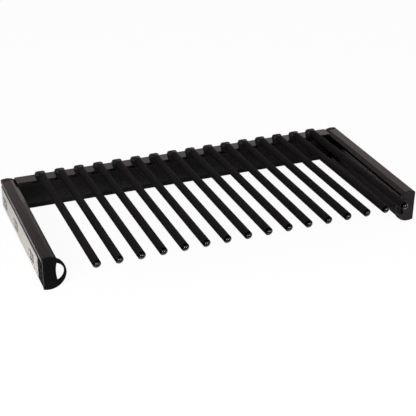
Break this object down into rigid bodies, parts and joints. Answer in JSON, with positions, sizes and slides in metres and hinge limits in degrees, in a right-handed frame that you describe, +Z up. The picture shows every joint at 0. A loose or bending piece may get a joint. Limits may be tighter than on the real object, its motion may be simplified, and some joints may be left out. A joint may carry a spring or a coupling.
{
  "type": "pull-out trouser rack",
  "caption": "Pull-out wardrobe trouser rack: parallel rods on a rear rail between two side rails with finger pulls, running on ball bearing slides.",
  "frame": {"origin": "middle of the footprint of the whole rack, on the surface that the four end caps stand on", "axes": "+X to the right across the rack, +Y from the rod tips to the rear rail, +Z up"},
  "size_m": [0.762, 0.4284, 0.0901],
  "materials": {
    "rail_bronze": "satin dark bronze anodised",
    "rod_black": "satin black coated steel tube",
    "cap_plastic": "fine grained dark grey moulding",
    "holder_plastic": "satin black moulding",
    "plug_plastic": "gloss black moulding",
    "slide_steel": "bright zinc plated rolled steel",
    "cage_steel": "plain steel strip, lightly greased",
    "screw_steel": "zinc plated",
    "buffer_rubber": "matt",
    "lever_plastic": "black moulding",
    "bracket_alloy": "as cast"
  },
  "bodies": {
    "cabinet_sides": {"left_cabinet_member": "slide_steel", "left_rear_buffer": "buffer_rubber", "right_cabinet_member": "slide_steel", "right_rear_buffer": "buffer_rubber"},
    "rack": {"rear_rail": "rail_bronze", "left_side_rail": "rail_bronze", "left_front_cap": "cap_plastic", "left_rear_cap": "cap_plastic", "left_drawer_member": "slide_steel", "right_side_rail": "rail_bronze", "right_front_cap": "cap_plastic", "right_rear_cap": "cap_plastic", "right_drawer_member": "slide_steel", "rod_01": "rod_black", "rod_02": "rod_black", "rod_03": "rod_black", "rod_04": "rod_black", "rod_05": "rod_black", "rod_06": "rod_black", "rod_07": "rod_black", "rod_08": "rod_black", "rod_09": "rod_black", "rod_10": "rod_black", "rod_11": "rod_black", "rod_12": "rod_black", "rod_13": "rod_black", "rod_14": "rod_black", "rod_15": "rod_black", "rod_16": "rod_black", "rod_holder_01": "holder_plastic", "rod_holder_02": "holder_plastic", "rod_holder_03": "holder_plastic", "rod_holder_04": "holder_plastic", "rod_holder_05": "holder_plastic", "rod_holder_06": "holder_plastic", "rod_holder_07": "holder_plastic", "rod_holder_08": "holder_plastic", "rod_holder_09": "holder_plastic", "rod_holder_10": "holder_plastic", "rod_holder_11": "holder_plastic", "rod_holder_12": "holder_plastic", "rod_holder_13": "holder_plastic", "rod_holder_14": "holder_plastic", "rod_holder_15": "holder_plastic", "rod_holder_16": "holder_plastic", "rod_end_plugs": "plug_plastic", "corner_brackets": "bracket_alloy", "corner_screws": "screw_steel", "slide_screws": "screw_steel", "front_cap_screws": "screw_steel"},
    "left_middle_slide": {"left_middle_member": "slide_steel"},
    "left_outer_cage": {"left_outer_ball_cage": "cage_steel"},
    "left_inner_cage": {"left_inner_ball_cage": "cage_steel"},
    "left_lever": {"left_release_lever": "lever_plastic"},
    "right_middle_slide": {"right_middle_member": "slide_steel"},
    "right_outer_cage": {"right_outer_ball_cage": "cage_steel"},
    "right_inner_cage": {"right_inner_ball_cage": "cage_steel"},
    "right_lever": {"right_release_lever": "lever_plastic"}
  },
  "joints": [
    {"name": "rack_slide", "type": "slide", "parent": "cabinet_sides", "child": "rack", "axis": [0, -1, 0], "range_m": [0, 0.3]},
    {"name": "left_middle_slide_travel", "type": "slide", "parent": "cabinet_sides", "child": "left_middle_slide", "axis": [0, -1, 0], "range_m": [0, 0.15]},
    {"name": "left_outer_cage_travel", "type": "slide", "parent": "cabinet_sides", "child": "left_outer_cage", "axis": [0, -1, 0], "range_m": [0, 0.075]},
    {"name": "left_inner_cage_travel", "type": "slide", "parent": "cabinet_sides", "child": "left_inner_cage", "axis": [0, -1, 0], "range_m": [0, 0.225]},
    {"name": "left_lever_pivot", "type": "hinge", "parent": "rack", "child": "left_lever", "pos_m": [-0.37025, -0.02025, 0.02685], "axis": [1, 0, 0], "range_deg": [0, 7], "stiffness_Nm_per_rad": 0.05},
    {"name": "right_middle_slide_travel", "type": "slide", "parent": "cabinet_sides", "child": "right_middle_slide", "axis": [0, -1, 0], "range_m": [0, 0.15]},
    {"name": "right_outer_cage_travel", "type": "slide", "parent": "cabinet_sides", "child": "right_outer_cage", "axis": [0, -1, 0], "range_m": [0, 0.075]},
    {"name": "right_inner_cage_travel", "type": "slide", "parent": "cabinet_sides", "child": "right_inner_cage", "axis": [0, -1, 0], "range_m": [0, 0.225]},
    {"name": "right_lever_pivot", "type": "hinge", "parent": "rack", "child": "right_lever", "pos_m": [0.37025, -0.02025, 0.02685], "axis": [1, 0, 0], "range_deg": [0, 7], "stiffness_Nm_per_rad": 0.05}
  ],
  "couplings": [
    {"joint": "left_middle_slide_travel", "follows": "rack_slide", "ratio": 0.5},
    {"joint": "left_outer_cage_travel", "follows": "rack_slide", "ratio": 0.25},
    {"joint": "left_inner_cage_travel", "follows": "rack_slide", "ratio": 0.75},
    {"joint": "right_middle_slide_travel", "follows": "rack_slide", "ratio": 0.5},
    {"joint": "right_outer_cage_travel", "follows": "rack_slide", "ratio": 0.25},
    {"joint": "right_inner_cage_travel", "follows": "rack_slide", "ratio": 0.75}
  ]
}
